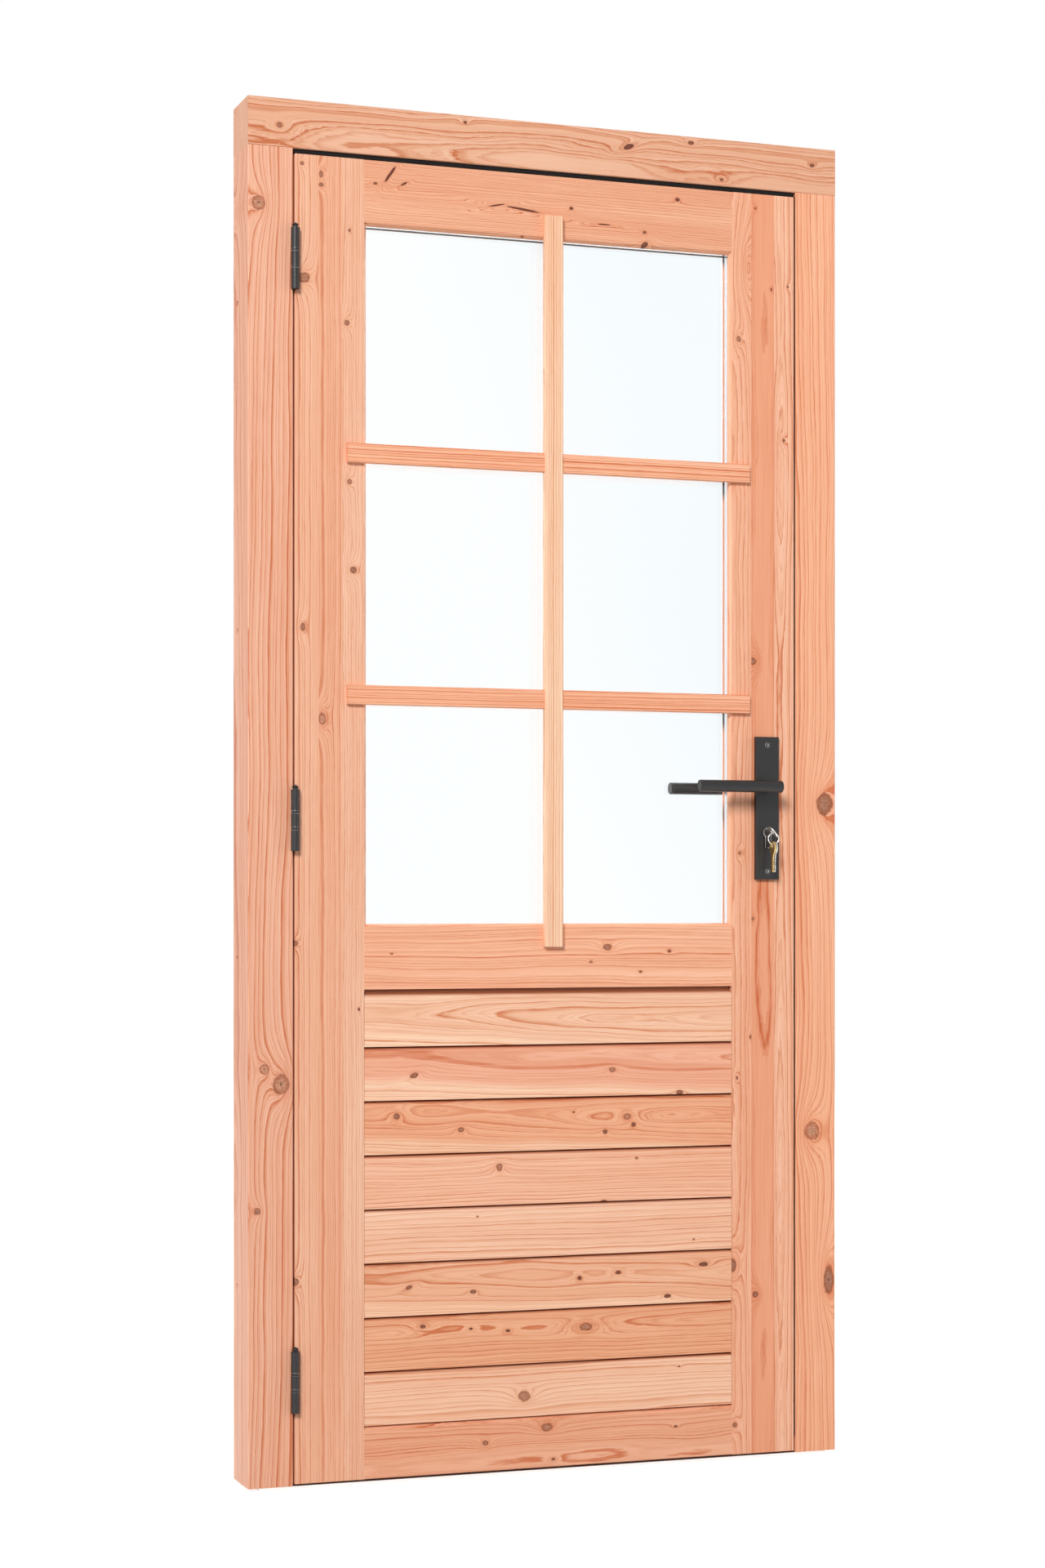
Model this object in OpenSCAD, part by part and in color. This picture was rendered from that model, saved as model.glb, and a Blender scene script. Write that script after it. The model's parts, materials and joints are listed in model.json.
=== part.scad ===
// Half-glazed timber door hung in its frame.
// Millimetres. X runs across the door from the hinges to the lock, Y from front to back, Z up.
// The origin is at the middle of the threshold's underside.

/* [Door leaf] */
// Width of the leaf
leaf_w = 830; // [760:1:1000]
// Height of the leaf
leaf_h = 2015; // [1650:1:2420]
// Thickness of the leaf
leaf_t = 40; // [33:1:54]
// Width of each upright of the leaf
stile_w = 109; // [105:1:140]
// Height of the rail above the glass
top_rail_h = 96; // [80:1:150]
// Height of the rail below the glass
mid_rail_h = 96; // [80:1:150]
// Height of the rail at the foot of the leaf
bottom_rail_h = 81; // [60:1:200]
// Height of the lower edge of the glazed opening above the foot of the leaf
glazing_sill_h = 844; // [650:1:1020]
// Softened corner along the edges of the timber
arris = 1.2; // [0.5:0.1:3]
// Length of the tenons at the ends of the rails
tenon_l = 42; // [25:1:48]
// Thickness of the tenons
tenon_t = 12; // [8:1:14]

/* [Boarded panel] */
// Thickness of the boards
board_t = 18; // [15:1:22]
// Height of the shadow groove between two boards
groove_h = 7; // [4:0.5:12]
// Depth of the slope at the top of each board
slope_d = 5.5; // [3:0.5:7]
// Thickness of the lip that covers the board below
lip_t = 8; // [7:0.5:10]
// Height of the tongue behind the lip
tongue_h = 9.5; // [6:0.5:14]
// Extra height of the groove under the middle rail
first_gap = 5.4; // [2:0.1:6]
// How far the back panel lies below the back face of the leaf
back_recess = 6; // [3:0.5:8]
// Depth of the grooves that hold the back panel
panel_groove_d = 10; // [6:1:14]

/* [Glazing] */
// Thickness of the timber lip in front of the glass
glass_lip_t = 10; // [7:1:12]
// How far that lip reaches into the opening
sight_lip = 4; // [2:0.5:8]
// Depth of the rebate that the glass sits in
glass_rebate = 8; // [6:1:12]
// Thickness of each pane
pane_t = 4; // [3:0.5:5]
// Space between the panes
pane_space = 12; // [8:1:12]
// Width of the glazing bars
bar_w = 30; // [20:1:45]
// How far the upright glazing bar stands proud
upright_bar_t = 11; // [9:0.5:16]
// How far the level glazing bars stand proud
level_bar_t = 8; // [5:0.5:8.5]
// How far the glazing bars lap over the rails and stiles
bar_lap = 28; // [15:1:60]

/* [Frame] */
// Face width of the jambs
jamb_face = 70; // [50:1:100]
// Face height of the header
header_face = 74; // [50:1:110]
// Depth of the frame
frame_d = 90; // [80:1:140]
// Gap at each side of the leaf
side_gap = 3; // [2.5:0.5:4]
// Gap above the leaf
top_gap = 8; // [4:0.5:10]
// Gap under the leaf
bottom_gap = 3; // [2:0.5:8]
// How far the frame laps behind the edge of the leaf
stop_lap = 12; // [10:1:15]
// Room for the seal between the leaf and the frame
seal_room = 2; // [1.5:0.5:4]
// Width of the seal
seal_w = 8; // [5:1:9]
// Thickness of the threshold plate
sill_t = 5; // [3:0.5:10]
// How far the threshold stops short of each side of the frame
sill_inset = 17; // [5:1:30]
// Radius of the holes for fixing the frame to a wall
fixing_r = 5; // [3:0.5:8]
// Distance between the four fixing holes in each jamb
fixing_pitch = 500; // [300:10:560]

/* [Hinges] */
// Diameter of the knuckles
knuckle_d = 13; // [11:0.5:16]
// Diameter of the pins
pin_d = 6; // [4:0.5:8]
// Height of the two outer knuckles
outer_knuckle_h = 16; // [12:0.5:20]
// Height of the two knuckles of the door flap
inner_knuckle_h = 15.2; // [12:0.1:20]
// Height of the middle knuckle
middle_knuckle_h = 19.6; // [12:0.1:24]
// Height of the bearing rings
ring_h = 5.4; // [3:0.1:8]
// Thickness of the flaps
flap_t = 2.5; // [2:0.5:4]
// Depth of the flaps
flap_d = 32; // [28:1:33]
// Height of the lowest hinge's middle above the foot of the leaf
hinge_foot = 155; // [110:1:260]
// Depth of the highest hinge's middle below the top of the leaf
hinge_head = 160; // [110:1:260]
// Length of the hinge screws
hinge_screw_l = 30; // [20:1:40]

/* [Lock and handles] */
// Height of the handle's spindle above the foot of the leaf
spindle_h = 1065; // [1000:1:1150]
// Distance from the leaf's edge to the spindle
backset = 50; // [45:1:58]
// Distance from the spindle down to the key
key_drop = 72; // [65:1:92]
// Width of the handle plates
plate_w = 40; // [36:1:50]
// Height of the handle plates
plate_h = 228; // [226:1:300]
// Thickness of the handle plates
plate_t = 8; // [5:0.5:12]
// Height of the plate's top above the spindle
plate_over = 81; // [75:1:110]
// Diameter of the lever
lever_d = 19; // [16:0.5:22]
// Length of the lever from the spindle to its free end
lever_l = 133; // [100:1:160]
// Distance from the face of the leaf to the middle of the lever
lever_reach = 42; // [41.5:0.5:60]
// Diameter of the lever's neck
neck_d = 15; // [12:0.5:15]
// Side of the square spindle
spindle_s = 8; // [7:0.5:9]
// Thickness of the lock case
case_t = 16; // [15:1:20]
// Depth of the lock case behind its front plate
case_d = 75; // [70:1:80]
// Width of the lock's front plate
front_plate_w = 20; // [18:1:24]
// Length of the lock's front plate
front_plate_h = 235; // [225:1:250]
// Thickness of the lock's front plate
front_plate_t = 3; // [2:0.5:3]
// Travel of the latch
latch_throw = 12; // [8:0.5:13]
// Travel of the bolt for a whole turn of the key
bolt_throw = 20; // [14:1:22]
// Diameter of the key barrel's upper part
barrel_d = 17; // [17:0.5:18]
// Width of the key barrel's lower part
barrel_web_w = 10; // [9:0.5:11]
// Height of the key barrel
barrel_h = 33; // [32:0.5:34]
// Diameter of the turning plug
plug_d = 13; // [12:0.5:13]

/* [Keys] */
// Turn of the key from upright, seen from the front
key_tilt = 37; // [0:1:45]
// Diameter of the key's bow
bow_d = 22; // [18:0.5:24]
// Diameter of the hole in the bow
bow_hole_d = 8; // [7:0.5:9]
// Thickness of the keys
key_t = 2; // [1.8:0.1:2.4]
// Middle diameter of the key ring
key_ring_d = 18; // [16:0.5:20]
// Thickness of the key ring's wire
wire_d = 1.6; // [1.2:0.1:2]
// Length of the spare keys' blades
spare_blade_l = 27.5; // [20:0.5:28]

/* [Hidden] */
$fn = 64;

timber = [0.90, 0.66, 0.51];
pale_timber = [0.94, 0.74, 0.60];
black_metal = [0.16, 0.16, 0.16];
steel = [0.72, 0.72, 0.72];
brass = [0.80, 0.68, 0.42];
rubber = [0.08, 0.08, 0.08];
clear_glass = [0.85, 0.93, 0.95, 0.4];

// Clearances
ease = 0.1;
joint_play = 0.3;
tongue_play = 0.3;
board_end_gap = 0.6;
pane_play = 2;
running_play = 0.05;
slide_play = 0.3;
socket_play = 1.5;

// Frame
half_leaf = leaf_w / 2;
rebate_x = half_leaf + side_gap;
stop_x = half_leaf - stop_lap;
frame_x = rebate_x + jamb_face;
leaf_z0 = sill_t + bottom_gap;
leaf_z1 = leaf_z0 + leaf_h;
rebate_z = leaf_z1 + top_gap;
frame_top = rebate_z + header_face;
stop_y = leaf_t + seal_room;
stop_z = leaf_z1 - stop_lap;
jamb_tenon_w = 30;
jamb_tenon_h = 40;
jamb_tenon_y = 20;
jamb_tenon_t = 40;
fixing_y = (stop_y + frame_d) / 2;
fixing_z = [for (i = [-1.5:1.5]) frame_top / 2 + i * fixing_pitch];
sill_front = 1.5;
sill_slope_d = 14;
sill_stop_z = leaf_z0 + stop_lap;
seal_play = 0.3;
seal_t = seal_room - seal_play;
seal_edge = 2;

// Leaf
stile_x = half_leaf - stile_w;
open_z0 = leaf_z0 + glazing_sill_h;
open_z1 = leaf_z1 - top_rail_h;
panel_z1 = open_z0 - mid_rail_h;
panel_z0 = leaf_z0 + bottom_rail_h;
board_count = 8;
board_pitch = (panel_z1 - panel_z0 - first_gap) / board_count;
lip_cut_h = tongue_h + 0.5;
tongue_y = lip_t + tongue_play;
panel_back_y = leaf_t - back_recess;
tenon_y0 = (leaf_t - tenon_t) / 2;
tenon_shoulder = 19;
sight_x = stile_x - sight_lip;
rebate_in_x = stile_x + glass_rebate;
pane_x = rebate_in_x - pane_play;
pane_z0 = open_z0 - glass_rebate + pane_play;
pane_z1 = open_z1 + glass_rebate - pane_play;
rebate_z0 = open_z0 - glass_rebate;
rebate_z1 = open_z1 + glass_rebate;
inner_pane_y = glass_lip_t + pane_t + pane_space;
bead_y = inner_pane_y + pane_t;
spacer_in = 1.5;
spacer_w = 7;
light_h = (open_z1 - open_z0 - 2 * bar_w) / 3;

// Hinges
hinge_x = -(half_leaf + side_gap / 2);
knuckle_off = 0.3;
hinge_y = -(knuckle_d / 2 + knuckle_off);
hinge_zs = [leaf_z1 - hinge_head,
  (leaf_z0 + hinge_foot + leaf_z1 - hinge_head) / 2, leaf_z0 + hinge_foot];
knuckle_hs = [outer_knuckle_h, inner_knuckle_h, ring_h, middle_knuckle_h, ring_h,
  inner_knuckle_h, outer_knuckle_h];
hinge_h = 2 * outer_knuckle_h + 2 * inner_knuckle_h + middle_knuckle_h + 2 * ring_h;
flap_front = 0.5;
flap_corner = 6;
hinge_screw_ys = [14, 24];
hinge_screw_in = 12;
hinge_screw_z = hinge_h / 2 - hinge_screw_in;
hinge_screw_r = 2.2;
hinge_head_r = 4.2;
pin_head_r = 5.2;
pin_head_h = 7;
ring_step = 0.4;

// Lock
lock_x = half_leaf - backset;
lock_y = leaf_t / 2;
spindle_z = leaf_z0 + spindle_h;
key_z = spindle_z - key_drop;
case_x0 = half_leaf - front_plate_t - case_d;
case_x1 = half_leaf - front_plate_t;
case_under = 54;
case_over = 50;
case_z0 = key_z - case_under;
case_z1 = spindle_z + case_over;
case_wall = 1.5;
plate_z1 = spindle_z + plate_over;
plate_z0 = plate_z1 - plate_h;
plate_ease = 1;
plate_bolt_in = 13;
bolt_r = 2.4;
bolt_head_r = 4.6;
front_plate_z = (case_z0 + case_z1) / 2;
latch_h = 18;
latch_l = 36;
latch_w = 12;
latch_tip = half_leaf + latch_throw;
dead_bolt_h = 30;
dead_bolt_l = 30;
bolt_tip_in = 0.5;
dead_bolt_tip = half_leaf - bolt_tip_in;
strike_t = 2;
strike_w = 24;
strike_h = 190;
strike_z = (spindle_z + key_z) / 2;
strike_screw_in = 12;
latch_socket = latch_throw + 6;
bolt_socket = bolt_throw + 4;
lock_screw_in = 10;
lock_screw_l = 30;
lock_screw_r = 2;
lock_screw_head_r = 4;
barrel_screw_r = 2.5;
lever_end = 9;
collar_d = 20;
collar_t = 3;
hub_r = 11;
spindle_out = plate_t + 14;
barrel_proud = 2;
barrel_y0 = -plate_t - barrel_proud;
barrel_y1 = leaf_t + plate_t + barrel_proud;
cam_r = 14;
cam_w = 8;
cam_t = 8;
cam_room = 1.5;
barrel_screw_drop = 20;

// Keys
key_out = 1.2;
neck_l = 2.5;
key_shoulder_y = barrel_y0 - key_out;
bow_y = key_shoulder_y - neck_l - bow_d / 2;
hole_out = 3;
hole_y = bow_y - hole_out;
blade_w = 8;
blade_in = 30;
wire_in_hole = 1.8;
ring_top_x = lock_x + wire_in_hole * sin(key_tilt);
ring_top_z = key_z - wire_in_hole * cos(key_tilt);
ring_z = ring_top_z - key_ring_d / 2;
ring_low_z = ring_z - key_ring_d / 2;
hang_play = 0.6;
spare_hole_z = ring_low_z + wire_d / 2 + hang_play - bow_hole_d / 2;
spare_bow_z = spare_hole_z - hole_out;
spare_off = 1.6;

// Everything is drawn with y = 0 on the front face and set back to the origin here
module in_place() translate([0, -frame_d / 2, 0]) children();

module block(lo, hi) translate(lo) cube(hi - lo);

// Outline in Y and Z, run along X
module along_x(x0, x1) translate([x0, 0, 0]) rotate([90, 0, 90]) linear_extrude(x1 - x0) children();

// Outline in X and Z, run along Y
module along_y(y0, y1) translate([0, y1, 0]) rotate([90, 0, 0]) linear_extrude(y1 - y0) children();

// Outline in X and Y, run along Z
module along_z(z0, z1) translate([0, 0, z0]) linear_extrude(z1 - z0) children();

// Round bar along Y
module rod_y(x, z, y0, y1, r) translate([x, y0, z]) rotate([-90, 0, 0]) cylinder(h = y1 - y0, r = r);

// Round bar along X
module rod_x(y, z, x0, x1, r) translate([x0, y, z]) rotate([0, 90, 0]) cylinder(h = x1 - x0, r = r);

// Rectangle with its corners cut off by e
module eased(lo, hi, e = arris) {
  polygon([[lo.x + e, lo.y], [hi.x - e, lo.y], [hi.x, lo.y + e], [hi.x, hi.y - e],
    [hi.x - e, hi.y], [lo.x + e, hi.y], [lo.x, hi.y - e], [lo.x, lo.y + e]]);
}

// Countersunk wood screw with its head at the origin, pointing along Z
module screw(head_r, shank_r, length, grow = 0) {
  head_h = head_r - shank_r;
  difference() {
    union() {
      cylinder(h = head_h, r1 = head_r + grow, r2 = shank_r + grow);
      cylinder(h = length + grow, r = shank_r + grow);
    }
    if (grow == 0) translate([0, 0, -0.1]) cylinder(h = 1.6, r = head_r / 2.4, $fn = 6);
  }
}

/* Frame */

// Rebated section of a jamb, for the right hand side
module jamb_section() {
  polygon([[frame_x - arris, 0], [rebate_x + arris, 0], [rebate_x, arris], [rebate_x, stop_y],
    [stop_x + arris, stop_y], [stop_x, stop_y + arris], [stop_x, frame_d - arris],
    [stop_x + arris, frame_d], [frame_x - arris, frame_d], [frame_x, frame_d - arris],
    [frame_x, arris]]);
}

module jamb_tenon(grow = 0) {
  x = rebate_x + (jamb_face - jamb_tenon_w) / 2;
  block([x - grow, jamb_tenon_y - grow, rebate_z - 1],
    [x + jamb_tenon_w + grow, jamb_tenon_y + jamb_tenon_t + grow,
      rebate_z + jamb_tenon_h + grow]);
}

module plain_jamb() {
  difference() {
    union() {
      along_z(sill_t, rebate_z) jamb_section();
      jamb_tenon();
    }
    for (z = fixing_z) rod_x(fixing_y, z, stop_x - 1, frame_x + 1, fixing_r);
  }
}

module header() {
  in_place() color(timber) difference() {
    union() {
      along_x(-frame_x, frame_x) eased([0, rebate_z], [frame_d, frame_top]);
      block([-stop_x, stop_y, stop_z], [stop_x, frame_d, rebate_z + arris]);
    }
    for (s = [0, 1]) mirror([s, 0, 0]) jamb_tenon(joint_play);
  }
}

module hinge_jamb() {
  in_place() color(timber) difference() {
    mirror([1, 0, 0]) plain_jamb();
    for (z = hinge_zs) {
      block([-rebate_x - flap_t, -1, z - hinge_h / 2 - ease],
        [-rebate_x + 1, flap_d + ease, z + hinge_h / 2 + ease]);
      frame_flap_screws(z, 0.05);
    }
  }
}

module lock_jamb() {
  in_place() color(timber) difference() {
    plain_jamb();
    block([rebate_x - 1, lock_y - strike_w / 2 - ease, strike_z - strike_h / 2 - ease],
      [rebate_x + strike_t, lock_y + strike_w / 2 + ease, strike_z + strike_h / 2 + ease]);
    latch_space(latch_socket);
    bolt_space(bolt_socket);
    strike_fixings(0.05);
  }
}

// Room in the jamb behind the strike plate
module latch_space(depth) {
  w = latch_w / 2 + socket_play;
  h = latch_h / 2 + socket_play;
  block([rebate_x - 1, lock_y - w, spindle_z - h], [rebate_x + depth, lock_y + w, spindle_z + h]);
}

module bolt_space(depth) {
  w = latch_w / 2 + socket_play;
  h = dead_bolt_h / 2 + socket_play;
  block([rebate_x - 1, lock_y - w, key_z - h], [rebate_x + depth, lock_y + w, key_z + h]);
}

module strike_fixings(grow = 0) {
  for (s = [-1, 1]) translate([rebate_x, lock_y, strike_z + s * (strike_h / 2 - strike_screw_in)])
    rotate([0, 90, 0]) screw(lock_screw_head_r, lock_screw_r, lock_screw_l, grow);
}

module strike_plate() {
  in_place() color(steel) difference() {
    block([rebate_x, lock_y - strike_w / 2, strike_z - strike_h / 2],
      [rebate_x + strike_t, lock_y + strike_w / 2, strike_z + strike_h / 2]);
    latch_space(strike_t + 1);
    bolt_space(strike_t + 1);
    strike_fixings(0.05);
  }
}

module strike_screws() {
  in_place() color(steel) strike_fixings();
}

module threshold() {
  sill_x = frame_x - sill_inset;
  in_place() color(steel) union() {
    block([-sill_x, sill_front, 0], [sill_x, frame_d - sill_front, sill_t]);
    along_x(-stop_x, stop_x) polygon([[stop_y, sill_t - 1], [stop_y, sill_stop_z - 1],
      [stop_y + 1, sill_stop_z], [frame_d - sill_slope_d, sill_stop_z], [frame_d - sill_front, sill_t + 3],
      [frame_d - sill_front, sill_t - 1]]);
  }
}

// One rubber strip runs all round the back of the leaf; its head strip also closes the top gap
module weather_seal() {
  side_x = stop_x + (rebate_x - stop_x - seal_w) / 2;
  low_z = sill_stop_z - seal_edge - seal_w;
  in_place() color(rubber) along_y(stop_y - seal_t, stop_y) difference() {
    translate([-side_x - seal_w, low_z]) square([2 * (side_x + seal_w), rebate_z - 1 - low_z]);
    translate([-side_x, low_z + seal_w]) square([2 * side_x, stop_z + seal_edge - low_z - seal_w]);
  }
}

/* Hinges */

// Foot of the i-th knuckle or ring, counted from the bottom, from the hinge's lower end
function knuckle_z(i) = i == 0 ? 0 : knuckle_z(i - 1) + knuckle_hs[i - 1];

// One hinge flap: side is -1 on the frame and 1 on the leaf, own lists its knuckles
module flap(z, side, own) {
  x0 = side < 0 ? -rebate_x - flap_t : -half_leaf;
  difference() {
    translate([0, 0, z - hinge_h / 2]) {
      translate([x0, 0, 0]) rotate([90, 0, 90]) linear_extrude(flap_t) polygon(concat(
        [[flap_front, 0]],
        [for (a = [-90:15:0]) [flap_d - flap_corner + flap_corner * cos(a),
          flap_corner + flap_corner * sin(a)]],
        [for (a = [0:15:90]) [flap_d - flap_corner + flap_corner * cos(a),
          hinge_h - flap_corner + flap_corner * sin(a)]],
        [[flap_front, hinge_h]]));
      for (i = own) translate([0, 0, knuckle_z(i) + ease / 2]) {
        translate([hinge_x, hinge_y, 0]) cylinder(h = knuckle_hs[i] - ease, r = knuckle_d / 2);
        translate([x0, hinge_y, 0]) cube([flap_t, flap_front - hinge_y + 1, knuckle_hs[i] - ease]);
      }
    }
    translate([hinge_x, hinge_y, z - hinge_h]) cylinder(h = 2 * hinge_h, r = pin_d / 2 + running_play);
    if (side < 0) frame_flap_screws(z, 0.05);
    else door_flap_screws(z, 0.05);
  }
}

module frame_flap(z) in_place() color(black_metal) flap(z, -1, [0, 3, 6]);

module door_flap(z) in_place() color(black_metal) flap(z, 1, [1, 5]);

module frame_flap_screws(z, grow = 0) {
  for (i = [0:3]) translate([-rebate_x, hinge_screw_ys[i % 2],
      z - hinge_screw_z + i * 2 * hinge_screw_z / 3])
    rotate([0, -90, 0]) screw(hinge_head_r, hinge_screw_r, hinge_screw_l, grow);
}

module door_flap_screws(z, grow = 0) {
  for (i = [0:3]) translate([-half_leaf, hinge_screw_ys[i % 2],
      z - hinge_screw_z + i * 2 * hinge_screw_z / 3])
    rotate([0, 90, 0]) screw(hinge_head_r, hinge_screw_r, hinge_screw_l, grow);
}

module frame_hinge_screws() {
  in_place() color(black_metal) for (z = hinge_zs) frame_flap_screws(z);
}

module door_hinge_screws() {
  in_place() color(black_metal) for (z = hinge_zs) door_flap_screws(z);
}

// Pins with a small turned finial
module hinge_pins() {
  r = pin_d / 2;
  top = hinge_h / 2 + ease;
  in_place() color(black_metal) for (z = hinge_zs) translate([hinge_x, hinge_y, z])
    rotate_extrude() polygon([[0, -hinge_h / 2], [r, -hinge_h / 2], [r, top], [pin_head_r - 1.2, top],
      [pin_head_r - 1.6, top + 2], [pin_head_r, top + 3.4], [pin_head_r, top + 4.6],
      [pin_head_r - 1.8, top + 5.6], [r * 0.6, top + pin_head_h], [0, top + pin_head_h]]);
}

module hinge_rings() {
  in_place() color(black_metal) for (z = hinge_zs, i = [2, 4])
    translate([hinge_x, hinge_y, z - hinge_h / 2 + knuckle_z(i) + ease / 2]) difference() {
      cylinder(h = ring_h - ease, r = knuckle_d / 2 - ring_step);
      translate([0, 0, -1]) cylinder(h = ring_h + 2, r = pin_d / 2 + running_play);
    }
}

/* Leaf */

// Upright of the leaf, for the right hand side
module plain_stile() {
  difference() {
    union() {
      along_z(leaf_z0, leaf_z1) polygon([[stile_x, 0], [half_leaf - arris, 0], [half_leaf, arris],
        [half_leaf, leaf_t - arris], [half_leaf - arris, leaf_t], [stile_x, leaf_t]]);
      along_z(open_z0, open_z1) polygon([[stile_x + 1, 0], [stile_x, 0], [sight_x, sight_lip],
        [sight_x, glass_lip_t], [stile_x + 1, glass_lip_t]]);
    }
    block([stile_x - 1, glass_lip_t, rebate_z0], [rebate_in_x, leaf_t + 1, rebate_z1]);
    block([stile_x - 1, board_t, panel_z0 - panel_groove_d],
      [stile_x + panel_groove_d, panel_back_y, panel_z1 + panel_groove_d]);
    rail_tenons(joint_play);
  }
}

// Tenons of all three rails at the right hand end, with room around them when grow is set
module rail_tenons(grow = 0) {
  for (zs = [rail_zs(0), rail_zs(1), rail_zs(2)])
    block([stile_x - 1, tenon_y0 - grow, zs[0] + tenon_shoulder - grow],
      [stile_x + tenon_l + grow, tenon_y0 + tenon_t + grow, zs[1] - tenon_shoulder + grow]);
}

// Lower and upper edge of the bottom, middle and top rail
function rail_zs(i) = i == 0 ? [leaf_z0, panel_z0] : i == 1 ? [panel_z1, open_z0] : [open_z1, leaf_z1];

module tenon_pair(i) {
  zs = rail_zs(i);
  for (s = [0, 1]) mirror([s, 0, 0])
    block([stile_x - 1, tenon_y0, zs[0] + tenon_shoulder],
      [stile_x + tenon_l, tenon_y0 + tenon_t, zs[1] - tenon_shoulder]);
}

module hinge_stile() {
  in_place() color(timber) difference() {
    mirror([1, 0, 0]) plain_stile();
    for (z = hinge_zs) {
      block([-half_leaf - 1, -1, z - hinge_h / 2 - ease],
        [-half_leaf + flap_t, flap_d + ease, z + hinge_h / 2 + ease]);
      door_flap_screws(z, 0.05);
    }
  }
}

module lock_stile() {
  in_place() color(timber) difference() {
    plain_stile();
    block([case_x0 - joint_play, lock_y - case_t / 2 - joint_play, case_z0 - joint_play],
      [case_x1 + 1, lock_y + case_t / 2 + joint_play, case_z1 + joint_play]);
    front_plate_shape(ease);
    rod_y(lock_x, spindle_z, -1, leaf_t + 1, spindle_s);
    along_y(-1, leaf_t + 1) barrel_outline(0.5);
    bolt_pattern(-1, leaf_t + 1, bolt_r + 0.2);
    lock_fixings(0.05);
  }
}

module top_rail() {
  in_place() color(timber) union() {
    along_x(-stile_x, stile_x) polygon([[0, open_z1], [0, leaf_z1 - arris], [arris, leaf_z1],
      [leaf_t - arris, leaf_z1], [leaf_t, leaf_z1 - arris], [leaf_t, rebate_z1],
      [glass_lip_t, rebate_z1], [glass_lip_t, open_z1]]);
    along_x(-sight_x, sight_x) polygon([[0, open_z1 + 1], [0, open_z1],
      [sight_lip, open_z1 - sight_lip], [glass_lip_t, open_z1 - sight_lip],
      [glass_lip_t, open_z1 + 1]]);
    tenon_pair(2);
  }
}

module middle_rail() {
  in_place() color(timber) union() {
    along_x(-stile_x, stile_x) polygon([[0, panel_z1], [0, open_z0], [glass_lip_t, open_z0],
      [glass_lip_t, rebate_z0], [leaf_t, rebate_z0], [leaf_t, panel_z1], [panel_back_y, panel_z1],
      [panel_back_y, panel_z1 + panel_groove_d], [board_t, panel_z1 + panel_groove_d],
      [lip_t, panel_z1 + panel_groove_d], [lip_t, panel_z1]]);
    along_x(-sight_x, sight_x) polygon([[0, open_z0 - 1], [0, open_z0],
      [sight_lip, open_z0 + sight_lip], [glass_lip_t, open_z0 + sight_lip],
      [glass_lip_t, open_z0 - 1]]);
    tenon_pair(1);
  }
}

// Sloped top edge with its tongue, shared by the boards and the bottom rail; z is the groove's top
function weathered_top(z) = [[0, z - groove_h], [slope_d, z - 1.5], [tongue_y, z - 1.5],
  [tongue_y, z + tongue_h], [board_t, z + tongue_h]];

module bottom_rail() {
  in_place() color(timber) union() {
    along_x(-stile_x, stile_x) polygon(concat([[0, leaf_z0 + arris]], weathered_top(panel_z0),
      [[board_t, panel_z0 - panel_groove_d], [panel_back_y, panel_z0 - panel_groove_d],
        [panel_back_y, panel_z0], [leaf_t, panel_z0], [leaf_t, leaf_z0 + arris],
        [leaf_t - arris, leaf_z0], [arris, leaf_z0]]));
    tenon_pair(0);
  }
}

// Shiplap board; boards are numbered from the top
module board(i) {
  z = panel_z0 + (board_count - i) * board_pitch;
  x = stile_x - board_end_gap;
  in_place() color(i % 2 == 0 ? timber : pale_timber) along_x(-x, x) polygon(concat(
    [[0, z + 0.5]], weathered_top(z + board_pitch),
    [[board_t, z + lip_cut_h], [lip_t, z + lip_cut_h], [lip_t, z], [0.5, z]]));
}

module back_panel() {
  reach = panel_groove_d - 1;
  in_place() color(pale_timber) block([-stile_x - reach, board_t, panel_z0 - reach],
    [stile_x + reach, panel_back_y, panel_z1 + reach]);
}

module pane(y) in_place() color(clear_glass) block([-pane_x, y, pane_z0], [pane_x, y + pane_t, pane_z1]);

module pane_spacer() {
  x = pane_x - spacer_in;
  z0 = pane_z0 + spacer_in;
  z1 = pane_z1 - spacer_in;
  y0 = glass_lip_t + pane_t;
  in_place() color(steel) difference() {
    block([-x, y0, z0], [x, y0 + pane_space, z1]);
    block([-x + spacer_w, y0 - 1, z0 + spacer_w], [x - spacer_w, y0 + pane_space + 1, z1 - spacer_w]);
  }
}

// Section of a glazing bead: across from the rebate to the sight line, and from glass to back face
function bead_section(w) = [[0, bead_y], [w, bead_y], [w, bead_y + 1], [w * 0.5, leaf_t], [0, leaf_t]];

module upright_bead() {
  w = glass_rebate + sight_lip;
  along_z(rebate_z0, rebate_z1) translate([rebate_in_x, 0]) mirror([1, 0, 0]) polygon(bead_section(w));
}

module level_bead(z, up) {
  w = glass_rebate + sight_lip;
  along_x(-sight_x, sight_x) polygon([for (p = bead_section(w)) [p.y, z + up * p.x]]);
}

module bead_left() in_place() color(timber) mirror([1, 0, 0]) upright_bead();

module bead_right() in_place() color(timber) upright_bead();

module bead_top() in_place() color(timber) level_bead(rebate_z1, -1);

module bead_bottom() in_place() color(timber) level_bead(rebate_z0, 1);

module upright_bar() {
  in_place() color(pale_timber) along_z(open_z0 - bar_lap - sight_lip, open_z1 + bar_lap + sight_lip)
    polygon([[-bar_w / 2, 0], [-bar_w / 2, arris - upright_bar_t], [arris - bar_w / 2, -upright_bar_t],
      [bar_w / 2 - arris, -upright_bar_t], [bar_w / 2, arris - upright_bar_t], [bar_w / 2, 0]]);
}

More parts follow.
